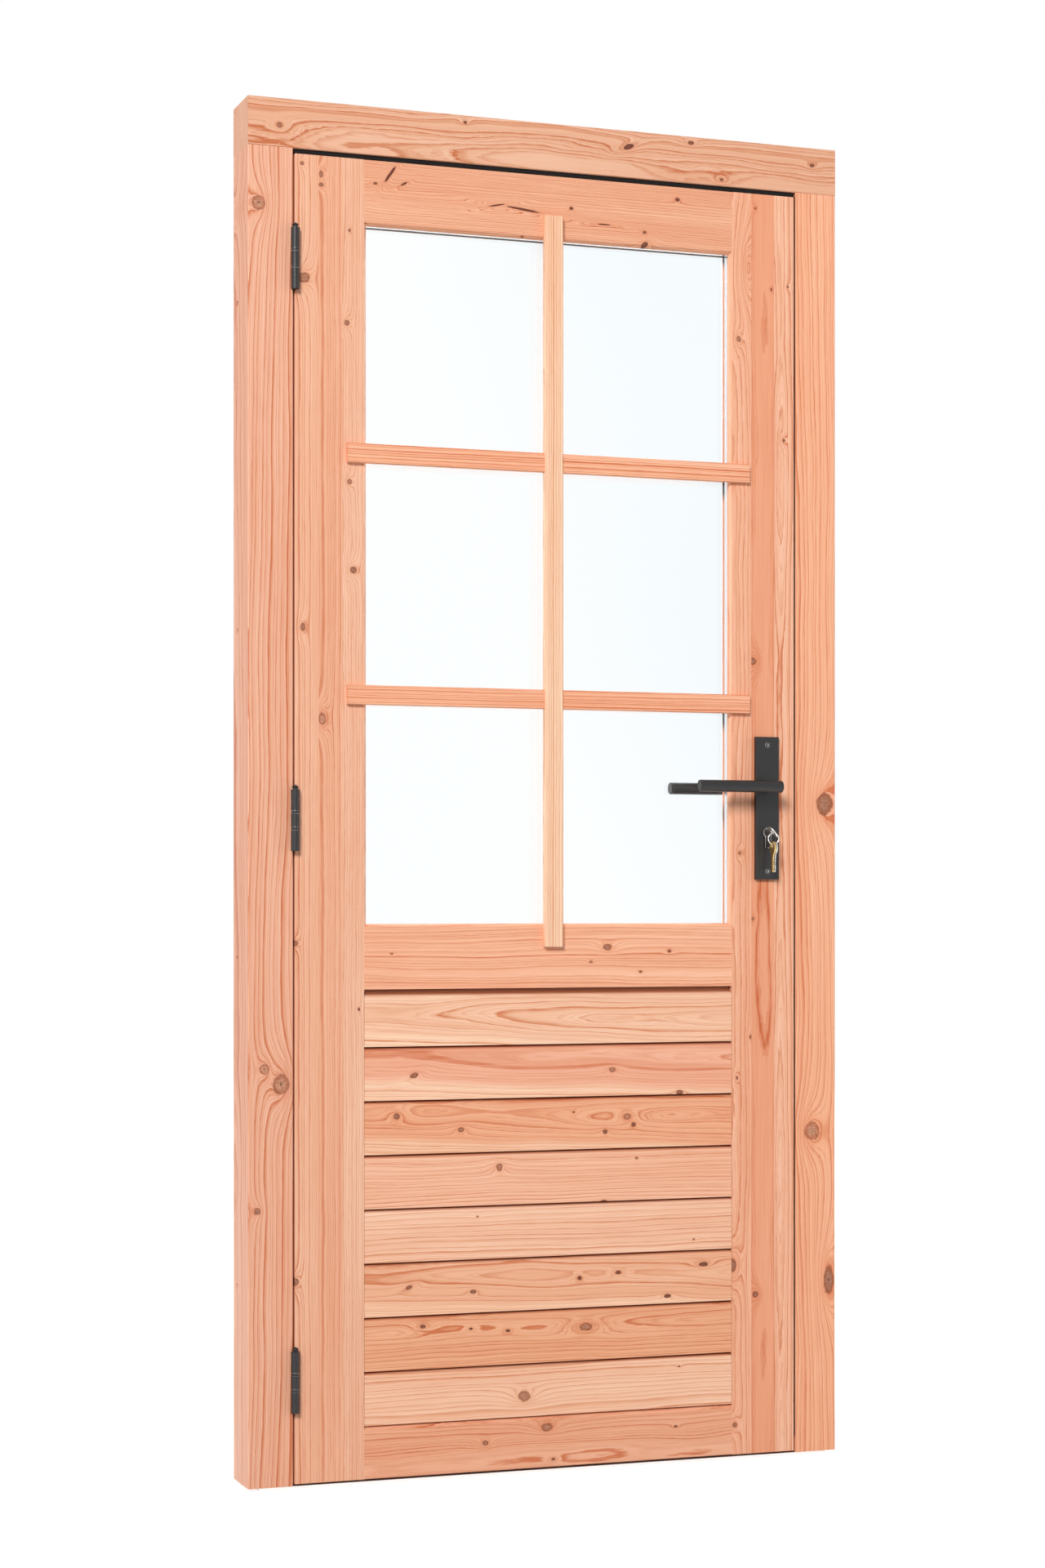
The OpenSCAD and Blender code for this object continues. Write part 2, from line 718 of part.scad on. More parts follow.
// Level glazing bar: row 1 is the lower one, side is -1 on the left and 1 on the right
module level_bar(row, side) {
  z = open_z0 + row * light_h + (row - 0.5) * bar_w;
  in_place() color(timber) mirror([side < 0 ? 1 : 0, 0, 0]) along_x(bar_w / 2, stile_x + bar_lap)
    polygon([[0, z - bar_w / 2], [arris - level_bar_t, z - bar_w / 2],
      [-level_bar_t, z - bar_w / 2 + arris], [-level_bar_t, z + bar_w / 2 - arris],
      [arris - level_bar_t, z + bar_w / 2], [0, z + bar_w / 2]]);
}

/* Lock and handles */

// Handle plate with softened edges, its back face at y = 0 and its front at y = -plate_t
module plain_plate() {
  e = plate_ease;
  x0 = lock_x - plate_w / 2;
  x1 = lock_x + plate_w / 2;
  intersection() {
    along_z(plate_z0, plate_z1) polygon([[x0, 0], [x0, e - plate_t], [x0 + e, -plate_t],
      [x1 - e, -plate_t], [x1, e - plate_t], [x1, 0]]);
    along_x(x0, x1) polygon([[0, plate_z0], [e - plate_t, plate_z0], [-plate_t, plate_z0 + e],
      [-plate_t, plate_z1 - e], [e - plate_t, plate_z1], [0, plate_z1]]);
  }
}

module plate_holes() {
  rod_y(lock_x, spindle_z, -plate_t - 1, 1, neck_d / 2 + running_play);
  along_y(-plate_t - 1, 1) barrel_outline(slide_play);
}

function plate_bolt_zs() = [plate_z0 + plate_bolt_in, plate_z1 - plate_bolt_in];

module bolt_pattern(y0, y1, r) {
  for (z = plate_bolt_zs()) rod_y(lock_x, z, y0, y1, r);
}

module outer_plate() {
  in_place() color(black_metal) difference() {
    plain_plate();
    plate_holes();
    for (z = plate_bolt_zs()) translate([lock_x, -plate_t, z]) rotate([-90, 0, 0])
      screw(bolt_head_r, bolt_r, plate_t + 1, 0.05);
  }
}

module inner_plate() {
  in_place() color(black_metal) difference() {
    translate([0, leaf_t, 0]) mirror([0, 1, 0]) plain_plate();
    translate([0, leaf_t, 0]) mirror([0, 1, 0]) plate_holes();
    bolt_pattern(leaf_t - 1, leaf_t + plate_t - 2, bolt_r + 0.05);
  }
}

// Bolts through the leaf that clamp the two handle plates
module plate_bolts() {
  in_place() color(black_metal) for (z = plate_bolt_zs()) translate([lock_x, -plate_t, z])
    rotate([-90, 0, 0]) screw(bolt_head_r, bolt_r, leaf_t + 2 * plate_t - 3);
}

// Outline of the key barrel in X and Z, grown by g
module barrel_outline(g = 0) {
  translate([lock_x, key_z]) circle(r = barrel_d / 2 + g);
  translate([lock_x - barrel_web_w / 2 - g, key_z + barrel_d / 2 - barrel_h - g])
    square([barrel_web_w + 2 * g, barrel_h - barrel_d / 2 + g]);
}

module key_barrel() {
  slot_y = lock_y - cam_t / 2 - 0.5;
  in_place() color(brass) difference() {
    along_y(barrel_y0, barrel_y1) barrel_outline();
    rod_y(lock_x, key_z, barrel_y0 - 1, barrel_y1 + 1, plug_d / 2 + running_play);
    rod_y(lock_x, key_z, slot_y, slot_y + cam_t + 1, cam_r + cam_room);
    rod_x(lock_y, key_z - barrel_screw_drop, lock_x - 2, lock_x + barrel_web_w,
      barrel_screw_r + running_play);
  }
}

// The plug turns with the key and carries the cam that drives the bolt
module key_plug() {
  turned() color(brass) difference() {
    union() {
      rod_y(0, 0, barrel_y0 + 0.2, barrel_y1 - 0.2, plug_d / 2);
      block([-cam_w / 2, lock_y - cam_t / 2, -cam_r], [cam_w / 2, lock_y + cam_t / 2, 0]);
    }
    block([-key_t / 2 - ease, barrel_y0 - 1, -blade_w / 2 - ease],
      [key_t / 2 + ease, key_shoulder_y + blade_in + 1, blade_w / 2 + ease]);
  }
}

// Drawn around the key's axis and turned with it
module turned() in_place() translate([lock_x, 0, key_z]) rotate([0, -key_tilt, 0]) children();

// Flat key in Y and Z with its bow's middle at the origin and the blade along +Y
module key_outline(length) {
  shoulder = bow_d / 2 + neck_l;
  difference() {
    union() {
      circle(d = bow_d);
      translate([0, -blade_w / 2 - 1]) square([shoulder, blade_w + 2]);
      translate([0, -blade_w / 2]) square([shoulder + length - 2, blade_w]);
      translate([shoulder, -blade_w / 2 + 2]) square([length, blade_w - 4]);
    }
    translate([-hole_out, 0]) circle(d = bow_hole_d);
    for (i = [0:4]) translate([shoulder + 4 + i * 4, -blade_w / 2])
      polygon([[-1.6, -0.1], [1.6, -0.1], [0.5, 1 + (i * 7 % 3) * 0.5], [-0.5, 1 + (i * 7 % 3) * 0.5]]);
  }
}

module key() {
  turned() color(steel) translate([0, bow_y, 0]) along_x(-key_t / 2, key_t / 2) key_outline(blade_in);
}

module key_ring() {
  in_place() color(steel) translate([ring_top_x, hole_y, ring_z]) rotate([90, 0, 0])
    rotate_extrude() translate([key_ring_d / 2, 0]) circle(d = wire_d, $fn = 24);
}

module spare_key(side) {
  x = ring_top_x + side * spare_off;
  in_place() translate([x, hole_y, spare_bow_z]) rotate([-90, 0, 0])
    along_x(-key_t / 2, key_t / 2) key_outline(spare_blade_l - neck_l);
}

module spare_key_left() color(brass) spare_key(-1);

module spare_key_right() color(steel) spare_key(1);

module lock_case() {
  w = case_t / 2;
  in_place() color(steel) difference() {
    block([case_x0, lock_y - w, case_z0], [case_x1, lock_y + w, case_z1]);
    block([case_x0 + case_wall, lock_y - w + case_wall, case_z0 + case_wall],
      [case_x1 - case_wall, lock_y + w - case_wall, case_z1 - case_wall]);
    rod_y(lock_x, spindle_z, 0, leaf_t, spindle_s - 0.5);
    along_y(0, leaf_t) barrel_outline(slide_play);
    bolt_slots();
    lock_fixings(0.3);
  }
}

// Slots for the latch, the bolt and the barrel's screw
module bolt_slots() {
  w = latch_w / 2 + slide_play;
  for (slot = [[spindle_z, latch_h], [key_z, dead_bolt_h]])
    block([case_x1 - 5, lock_y - w, slot[0] - slot[1] / 2 - slide_play],
      [half_leaf + 1, lock_y + w, slot[0] + slot[1] / 2 + slide_play]);
}

module front_plate_shape(g = 0) {
  w = front_plate_w / 2 + g;
  h = front_plate_h / 2 + g;
  block([case_x1, lock_y - w, front_plate_z - h],
    [half_leaf + (g > 0 ? 1 : 0), lock_y + w, front_plate_z + h]);
}

module lock_front_plate() {
  in_place() color(steel) difference() {
    front_plate_shape();
    bolt_slots();
    lock_fixings(0.05);
  }
}

// Two screws hold the front plate, a long one holds the key barrel
module lock_fixings(grow = 0) {
  for (s = [-1, 1])
    translate([half_leaf, lock_y, front_plate_z + s * (front_plate_h / 2 - lock_screw_in)])
      rotate([0, -90, 0]) screw(lock_screw_head_r, lock_screw_r, lock_screw_l, grow);
  translate([half_leaf, lock_y, key_z - barrel_screw_drop]) rotate([0, -90, 0])
    screw(lock_screw_head_r, barrel_screw_r, backset, grow);
}

module lock_screws() {
  in_place() color(steel) lock_fixings();
}

// Sprung latch with its slope towards the back
module latch_bolt() {
  w = latch_w / 2;
  in_place() color(brass) along_z(spindle_z - latch_h / 2, spindle_z + latch_h / 2)
    polygon([[latch_tip - latch_l, lock_y - w], [latch_tip, lock_y - w], [latch_tip, lock_y - w + 2],
      [half_leaf + 1, lock_y + w], [latch_tip - latch_l, lock_y + w]]);
}

module dead_bolt() {
  w = latch_w / 2;
  in_place() color(steel) block([dead_bolt_tip - dead_bolt_l, lock_y - w, key_z - dead_bolt_h / 2],
    [dead_bolt_tip, lock_y + w, key_z + dead_bolt_h / 2]);
}

// Round lever, for the outside
module plain_lever() {
  r = lever_d / 2;
  x0 = lock_x - lever_l;
  difference() {
    union() {
      rod_y(lock_x, spindle_z, -lever_reach, -plate_t / 4, neck_d / 2);
      rod_y(lock_x, spindle_z, -plate_t - collar_t, -plate_t - ease, collar_d / 2);
      rod_x(-lever_reach, spindle_z, x0 + 0.6, lock_x + lever_end - 0.6, r);
      translate([x0, -lever_reach, spindle_z]) rotate([0, 90, 0]) cylinder(h = 0.6, r1 = r - 0.6, r2 = r);
      translate([lock_x + lever_end - 0.6, -lever_reach, spindle_z]) rotate([0, 90, 0])
        cylinder(h = 0.6, r1 = r, r2 = r - 0.6);
    }
    spindle_bar(-spindle_out - ease, 0, spindle_s / 2 + ease);
  }
}

module spindle_bar(y0, y1, half) {
  block([lock_x - half, y0, spindle_z - half], [lock_x + half, y1, spindle_z + half]);
}

module outer_lever() in_place() color(black_metal) plain_lever();

module inner_lever() in_place() color(black_metal) translate([0, leaf_t, 0]) mirror([0, 1, 0]) plain_lever();

// Square spindle with the follower that draws the latch back
module spindle() {
  y = case_t / 2 - case_wall - 0.5;
  in_place() color(steel) union() {
    spindle_bar(-spindle_out, leaf_t + spindle_out, spindle_s / 2);
    rod_y(lock_x, spindle_z, lock_y - y, lock_y + y, hub_r);
  }
}

header();
hinge_jamb();
lock_jamb();
threshold();
weather_seal();
strike_plate();
strike_screws();
frame_flap(hinge_zs[0]);  // frame_flap_top
frame_flap(hinge_zs[1]);  // frame_flap_middle
frame_flap(hinge_zs[2]);  // frame_flap_bottom
hinge_pins();
hinge_rings();
frame_hinge_screws();
hinge_stile();
lock_stile();
top_rail();
middle_rail();
bottom_rail();
board(1);  // board_1
board(2);  // board_2
board(3);  // board_3
board(4);  // board_4
board(5);  // board_5
board(6);  // board_6
board(7);  // board_7
board(8);  // board_8
back_panel();
pane(glass_lip_t);  // outer_pane
pane(inner_pane_y);  // inner_pane
pane_spacer();
bead_top();
bead_bottom();
bead_left();
bead_right();
upright_bar();
level_bar(2, -1);  // upper_bar_left
level_bar(2, 1);  // upper_bar_right
level_bar(1, -1);  // lower_bar_left
level_bar(1, 1);  // lower_bar_right
door_flap(hinge_zs[0]);  // door_flap_top
door_flap(hinge_zs[1]);  // door_flap_middle
door_flap(hinge_zs[2]);  // door_flap_bottom
door_hinge_screws();
outer_plate();
inner_plate();
plate_bolts();
lock_case();
lock_front_plate();
lock_screws();
key_barrel();
latch_bolt();
dead_bolt();
outer_lever();
inner_lever();
spindle();
key_plug();
key();
key_ring();
spare_key_left();
spare_key_right();
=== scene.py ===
import math

import bpy
import bmesh
from mathutils import Matrix, Vector
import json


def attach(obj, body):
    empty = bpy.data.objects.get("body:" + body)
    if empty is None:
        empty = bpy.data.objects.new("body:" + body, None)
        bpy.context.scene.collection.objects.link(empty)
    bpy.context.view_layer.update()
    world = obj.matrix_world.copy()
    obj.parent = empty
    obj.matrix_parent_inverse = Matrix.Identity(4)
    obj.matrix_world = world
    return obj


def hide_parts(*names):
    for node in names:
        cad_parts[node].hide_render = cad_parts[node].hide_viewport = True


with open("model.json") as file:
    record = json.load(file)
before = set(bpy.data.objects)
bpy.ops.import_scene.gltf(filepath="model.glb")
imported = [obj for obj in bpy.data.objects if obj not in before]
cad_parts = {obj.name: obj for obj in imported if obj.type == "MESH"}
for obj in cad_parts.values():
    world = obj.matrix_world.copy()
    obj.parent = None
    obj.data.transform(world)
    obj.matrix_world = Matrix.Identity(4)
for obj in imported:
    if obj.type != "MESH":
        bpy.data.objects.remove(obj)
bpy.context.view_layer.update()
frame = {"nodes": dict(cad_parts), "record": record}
scene = bpy.context.scene
front = -0.045  # front face of the leaf and the frame, metres
print("stage: frame loaded")


def addNode(tree, kind, inputs=None, **settings):
    node = tree.nodes.new(kind)
    for name, value in settings.items():
        setattr(node, name, value)
    fillSockets(tree, node, inputs or {})
    return node


def fillSockets(tree, node, inputs):
    for key, value in inputs.items():
        if isinstance(value, bpy.types.NodeSocket):
            tree.links.new(value, node.inputs[key])
        else:
            node.inputs[key].default_value = value


def calc(tree, operation, *values, clamp=False):
    inputs = dict(enumerate(values))
    return addNode(tree, "ShaderNodeMath", inputs, operation=operation, use_clamp=clamp).outputs[0]


def vecCalc(tree, operation, *values):
    node = addNode(tree, "ShaderNodeVectorMath", dict(enumerate(values)), operation=operation)
    return node.outputs["Value"] if operation == "LENGTH" else node.outputs[0]


def scaled(tree, vector, factor):
    inputs = {0: vector, "Scale": factor}
    return addNode(tree, "ShaderNodeVectorMath", inputs, operation="SCALE").outputs[0]


def split(tree, vector):  # X, Y and Z of a vector
    return addNode(tree, "ShaderNodeSeparateXYZ", {0: vector}).outputs


def joined(tree, x=0.0, y=0.0):
    return addNode(tree, "ShaderNodeCombineXYZ", {0: x, 1: y}).outputs[0]


def ramp(tree, value, low, high, start=0.0, end=1.0):
    inputs = {"Value": value, "From Min": low, "From Max": high, "To Min": start, "To Max": end}
    return addNode(tree, "ShaderNodeMapRange", inputs, interpolation_type="SMOOTHSTEP").outputs[0]


def noise(tree, vector, scale, detail):
    stretched = vecCalc(tree, "MULTIPLY", vector, scale)
    inputs = {"Vector": stretched, "Scale": 1.0, "Detail": detail}
    return addNode(tree, "ShaderNodeTexNoise", inputs).outputs[0]


def mixColor(tree, factor, first, second, blend="MIX"):
    inputs = {0: factor, 6: first, 7: second}
    return addNode(tree, "ShaderNodeMix", inputs, data_type="RGBA", blend_type=blend).outputs[2]


def tinted(tree, color, tint, amount=1.0):
    return mixColor(tree, amount, color, tint, "MULTIPLY")


def newGroup(name, inputs, outputs):
    group = bpy.data.node_groups.new(name, "ShaderNodeTree")
    for direction, sockets in (("INPUT", inputs), ("OUTPUT", outputs)):
        for label, kind, *value in sockets:
            socket = group.interface.new_socket(label, in_out=direction, socket_type="NodeSocket" + kind)
            if value:
                socket.default_value = value[0]
    start, end = (group.nodes.new("NodeGroup" + side) for side in ("Input", "Output"))
    return group, start.outputs, end.inputs


def useGroup(tree, group, inputs):
    node = tree.nodes.new("ShaderNodeGroup")
    node.node_tree = group
    fillSockets(tree, node, inputs)
    return node.outputs


def srgb(red, green, blue):
    channels = [c / 255 for c in (red, green, blue)]
    return tuple(c / 12.92 if c < 0.04 else ((c + 0.055) / 1.055) ** 2.4 for c in channels) + (1.0,)


# Timber vectors are in millimetres: X across the face, Y into the piece, Z along the grain.
knotLook = {
    "settle": -0.85,  # how soon the rings lie straight again away from a knot
    "stretch": 0.6,  # below 1 the rings stay pushed aside further along the grain
    "far": 50.0}  # distance that means no knot near


def makeKnotGroup():
    group, given, result = newGroup(
        "knot",
        [("Vector", "Vector"), ("Field", "Float"), ("Distance", "Float", knotLook["far"]), ("Dark", "Float"),
         ("Centre", "Vector"), ("Size", "Vector"), ("Turn", "Float"), ("Lift", "Float"), ("Depth", "Float"),
         ("Low", "Float", -5000.0), ("High", "Float", 5000.0)],
        [("Field", "Float"), ("Distance", "Float"), ("Dark", "Float")])
    away = vecCalc(group, "SUBTRACT", given["Vector"], given["Centre"])
    inputs = {"Vector": away, "Angle": given["Turn"]}
    turned = addNode(group, "ShaderNodeVectorRotate", inputs, rotation_type="Y_AXIS").outputs[0]
    flat = vecCalc(group, "DIVIDE", vecCalc(group, "MULTIPLY", turned, (1, 0, 1)), given["Size"])
    across = split(group, given["Vector"])[0]
    inside = calc(  # 1 within the glued layer that holds the knot
        group, "MULTIPLY",
        calc(group, "GREATER_THAN", across, given["Low"]),
        calc(group, "LESS_THAN", across, given["High"]))
    drawn = vecCalc(group, "LENGTH", vecCalc(group, "MULTIPLY", flat, (1, 0, knotLook["stretch"])))
    fall = calc(group, "EXPONENT", calc(group, "MULTIPLY", drawn, knotLook["settle"]))
    hill = calc(group, "MULTIPLY", calc(group, "MULTIPLY", fall, inside), given["Lift"])
    outside = calc(group, "MULTIPLY", calc(group, "SUBTRACT", 1.0, inside), knotLook["far"])
    reach = calc(group, "ADD", vecCalc(group, "LENGTH", flat), outside)
    nearer = calc(group, "LESS_THAN", reach, given["Distance"])
    change = calc(group, "MULTIPLY", nearer, calc(group, "SUBTRACT", given["Depth"], given["Dark"]))
    group.links.new(calc(group, "ADD", given["Field"], hill), result["Field"])
    group.links.new(calc(group, "MINIMUM", given["Distance"], reach), result["Distance"])
    group.links.new(calc(group, "ADD", given["Dark"], change), result["Dark"])
    return group


timberLook = {  # tints multiply the tone of the piece
    "lateTint": (0.74, 0.44, 0.30, 1),  # the dark line that ends a year's ring
    "warmTint": (0.90, 0.76, 0.64, 1),  # the slow darkening before that line
    "sapwood": srgb(248, 210, 180),
    "broadDark": (0.95, 0.86, 0.81, 1), "broadPale": (1.03, 1.10, 1.15, 1),
    "fibreDark": (0.93, 0.86, 0.83, 1), "fibrePale": (1.06, 1.10, 1.12, 1),
    "haloTint": (0.90, 0.71, 0.60, 1),  # darker wood round a knot
    "bandTint": (0.74, 0.52, 0.42, 1), "bandDark": srgb(98, 48, 32),
    "heartPale": srgb(220, 164, 134), "heartDark": srgb(112, 58, 40),
    "knotRingTint": (0.66, 0.55, 0.5, 1), "knotCentre": srgb(92, 58, 46),
    "mottleDark": (0.55, 0.42, 0.36, 1), "mottlePale": (1.25, 1.3, 1.3, 1),
    "rim": srgb(104, 52, 36)}


def makeTimberGroup():
    group, given, result = newGroup(
        "timber",
        [("Vector", "Vector"), ("Field", "Float"), ("Distance", "Float", knotLook["far"]), ("Dark", "Float"),
         ("Pith", "Vector"), ("Lean", "Vector"), ("Ring", "Float", 6.0), ("Wander", "Float", 4.0),
         ("Seed", "Float"), ("Sapwood", "Float", 900.0), ("Tone", "Color"), ("Contrast", "Float", 1.0)],
        [("Color", "Color"), ("Roughness", "Float"), ("Height", "Float")])
    seedShift = scaled(group, (1.0, 0.37, 1.7), given["Seed"])

    def grain(scale, detail, spread):  # uneven value round zero, its scale per millimetre
        place = vecCalc(group, "MULTIPLY_ADD", given["Vector"], scale, seedShift)
        inputs = {"Vector": place, "Scale": 1.0, "Detail": detail}
        found = addNode(group, "ShaderNodeTexNoise", inputs).outputs[0]
        return calc(group, "MULTIPLY", calc(group, "SUBTRACT", found, 0.5), spread)

    turns, radius = ringCount(group, given, grain)
    late, warmth = ringLines(group, given, grain, turns)
    edge = calc(group, "ADD", radius, grain((0.03, 0.03, 0.004), 2.0, 8.0))
    sap = ramp(group, edge, given["Sapwood"], calc(group, "ADD", given["Sapwood"], 7.0))
    base = mixColor(group, calc(group, "MULTIPLY", sap, 0.75), given["Tone"], timberLook["sapwood"])
    base = tinted(group, base, timberLook["warmTint"], warmth)
    base = tinted(group, base, timberLook["lateTint"], late)
    broad = grain((0.03, 0.03, 0.002), 2.0, 1.6)
    base = mottled(group, base, broad, "broad")
    fibre = grain((0.9, 0.9, 0.012), 4.0, 1.5)
    base = mottled(group, base, fibre, "fibre")
    base = withKnot(group, given, grain, base)
    group.links.new(base, result["Color"])
    group.links.new(calc(group, "MULTIPLY_ADD", late, -0.08, 0.5), result["Roughness"])
    group.links.new(calc(group, "ADD", calc(group, "MULTIPLY", late, 0.6), fibre), result["Height"])
    return group


def mottled(group, color, value, name):  # value round zero, from the dark to the pale tint
    amount = calc(group, "ADD", value, 0.5, clamp=True)
    tint = mixColor(group, amount, timberLook[name + "Dark"], timberLook[name + "Pale"])
    return tinted(group, color, tint)


def ringCount(group, given, grain):
    along = split(group, given["Vector"])[2]
    pith = vecCalc(group, "MULTIPLY_ADD", given["Lean"], joined(group, along, along), given["Pith"])
    fromPith = vecCalc(group, "MULTIPLY", vecCalc(group, "SUBTRACT", given["Vector"], pith), (1, 1, 0))
    radius = calc(group, "ADD", vecCalc(group, "LENGTH", fromPith), given["Field"])
    radius = calc(group, "MULTIPLY_ADD", grain((0.011, 0.011, 0.0024), 2.0, 2.4), given["Wander"], radius)
    radius = calc(group, "ADD", radius, grain((0.07, 0.07, 0.012), 2.0, 1.8))
    radius = calc(group, "ADD", radius, grain((0.4, 0.4, 0.035), 3.0, 1.1))
    turns = calc(group, "DIVIDE", radius, given["Ring"])
    inputs = {"W": calc(group, "MULTIPLY_ADD", turns, 0.4, given["Seed"]), "Scale": 1.0}
    uneven = addNode(group, "ShaderNodeTexNoise", inputs, noise_dimensions="1D").outputs[0]
    return calc(group, "MULTIPLY_ADD", uneven, 2.2, turns), radius


def ringLines(group, given, grain, turns):
    phase = calc(group, "FRACT", turns)
    inputs = {"W": calc(group, "ADD", calc(group, "FLOOR", turns), given["Seed"])}
    chance = addNode(group, "ShaderNodeTexWhiteNoise", inputs, noise_dimensions="1D").outputs[0]
    rise = calc(group, "POWER", ramp(group, phase, 0.62, 0.94), 2.0)
    late = calc(group, "MULTIPLY", rise, ramp(group, phase, 0.94, 1.0, 1.0, 0.0))
    late = calc(group, "MULTIPLY", late, ramp(group, chance, 0.0, 1.0, 0.45, 1.0))
    fineTurns = calc(group, "FRACT", calc(group, "MULTIPLY", turns, 3.3))
    late = calc(group, "MAXIMUM", late, ramp(group, fineTurns, 0.45, 0.95, 0.0, 0.3))
    streak = calc(group, "ADD", grain((0.25, 0.25, 0.02), 3.0, 1.6), 0.9)
    late = calc(group, "MULTIPLY", late, streak, clamp=True)
    fade = calc(group, "MULTIPLY", ramp(group, phase, 0.93, 1.0, 1.0, 0.0), 0.42)
    warmth = calc(group, "MULTIPLY", ramp(group, phase, 0.1, 0.9), fade)
    return (calc(group, "MULTIPLY", value, given["Contrast"]) for value in (late, warmth))


def withKnot(group, given, grain, base):
    ragged = calc(group, "ADD", given["Distance"], grain((0.16, 0.16, 0.12), 3.0, 0.6))
    halo = calc(group, "EXPONENT", calc(group, "MULTIPLY", calc(group, "POWER", ragged, 2.0), -0.4))
    halo = calc(group, "MULTIPLY", halo, ramp(group, given["Dark"], -1.0, 0.0, 0.3, 0.8))
    base = tinted(group, base, timberLook["haloTint"], halo)
    shown = ramp(group, given["Dark"], -0.5, -0.01)  # below zero the grain swirls round no knot
    band = mixColor(group, given["Dark"], tinted(group, given["Tone"], timberLook["bandTint"]),
                    timberLook["bandDark"])
    heart = mixColor(group, given["Dark"], timberLook["heartPale"], timberLook["heartDark"])
    knot = mixColor(group, ramp(group, ragged, 0.4, 0.75), heart, band)
    wavy = calc(group, "ADD", ragged, grain((0.4, 0.4, 0.4), 2.0, 0.25))
    wave = calc(group, "SINE", calc(group, "MULTIPLY", wavy, 26.0))
    knot = tinted(group, knot, timberLook["knotRingTint"], calc(group, "MULTIPLY_ADD", wave, 0.25, 0.25))
    knot = mixColor(group, ramp(group, wavy, 0.02, 0.14, 0.7, 0.0), knot, timberLook["knotCentre"])
    knot = mottled(group, knot, grain((0.8, 0.8, 0.5), 3.0, 2.6), "mottle")
    core = calc(group, "MULTIPLY", ramp(group, ragged, 0.86, 1.0, 1.0, 0.0), shown)
    base = mixColor(group, core, base, knot)
    fromRim = calc(group, "DIVIDE", calc(group, "SUBTRACT", ragged, 0.96), 0.09)
    rim = calc(group, "EXPONENT", calc(group, "MULTIPLY", calc(group, "POWER", fromRim, 2.0), -1.0))
    dots = ramp(group, grain((0.9, 0.9, 0.9), 1.0, 1.0), -0.15, 0.12, 0.35, 1.0)
    dots = calc(group, "MULTIPLY", dots, calc(group, "MULTIPLY_ADD", given["Dark"], 0.6, 0.45))
    rim = calc(group, "MULTIPLY", calc(group, "MULTIPLY", rim, dots, clamp=True), shown)
    return mixColor(group, rim, base, timberLook["rim"])


knotGroup = makeKnotGroup()
timberGroup = makeTimberGroup()


def timberMaterial(name, spec):
    material = bpy.data.materials.new(name)
    material.use_nodes = True
    tree = material.node_tree
    shader = tree.nodes["Principled BSDF"]
    level = spec.get("level", False)
    mapping = {
        "Vector": addNode(tree, "ShaderNodeTexCoord").outputs["Object"], "Scale": (1000, 1000, 1000),
        "Rotation": (0, math.pi / 2 if level else 0.0, 0), "Location": (0, -1000 * front, 0)}
    vector = addNode(tree, "ShaderNodeMapping", mapping).outputs[0]
    knots = addKnots(tree, vector, spec)
    shifted, tone, ring = addLayers(tree, vector, spec)
    wood = useGroup(tree, timberGroup, {
        "Vector": shifted, "Pith": (*spec["pith"], 0), "Lean": (*spec.get("lean", (0, 0)), 0),
        "Ring": ring, "Wander": spec.get("wander", 4.0), "Seed": spec["seed"],
        "Sapwood": spec.get("sapwood", 900.0), "Tone": tone, "Contrast": spec.get("contrast", 1.35), **knots})
    color = wood["Color"]
    # painted shade: the board wood darkens with depth into the groove under each lip
    if "groove" in spec:
        grooveShade = ramp(tree, split(tree, vector)[1], 0.3, spec["groove"])
        color = tinted(tree, color, grooveShadeTint, grooveShade)
    tree.links.new(color, shader.inputs["Base Color"])
    tree.links.new(wood["Roughness"], shader.inputs["Roughness"])
    relief = {"Height": wood["Height"], "Strength": 0.25, "Distance": 0.0002}
    tree.links.new(addNode(tree, "ShaderNodeBump", relief).outputs[0], shader.inputs["Normal"])
    shader.inputs["Specular IOR Level"].default_value = 0.3
    return material


def addKnots(tree, vector, spec):
    state = {"Field": 0.0, "Distance": knotLook["far"], "Dark": 0.0}
    for x, z, halfAcross, halfAlong, lift, dark, *turn in spec.get("knots", []):
        inputs = {
            "Vector": vector, "Centre": (z, 0, -x) if spec.get("level") else (x, 0, z),
            "Size": (halfAcross, 1, halfAlong), "Turn": math.radians(turn[0] if turn else 0),
            "Lift": lift, "Depth": dark, **state}
        for layer in spec.get("layers", []):
            if layer["from"] < x < layer["to"]:
                inputs.update(Low=layer["from"], High=layer["to"])
        found = useGroup(tree, knotGroup, inputs)
        state = {key: found[key] for key in state}
    return state


def addLayers(tree, vector, spec):  # each glued layer is cut from another part of the log
    shifted, tone, ring = vector, srgb(*spec["tone"]), spec["ring"]
    for layer in spec.get("layers", [])[1:]:
        step = calc(tree, "GREATER_THAN", split(tree, vector)[0], layer["from"])
        change = calc(tree, "SUBTRACT", layer["ring"], ring)
        ring = calc(tree, "MULTIPLY_ADD", step, change, ring)
        shifted = vecCalc(tree, "ADD", shifted, scaled(tree, layer["shift"], step))
        tone = mixColor(tree, step, tone, srgb(*layer["tone"]))
    return shifted, tone, ring


grooveShadeTint = (0.34, 0.17, 0.10, 1)  # painted shade, darker wood down in the grooves where the lip above shades the slope
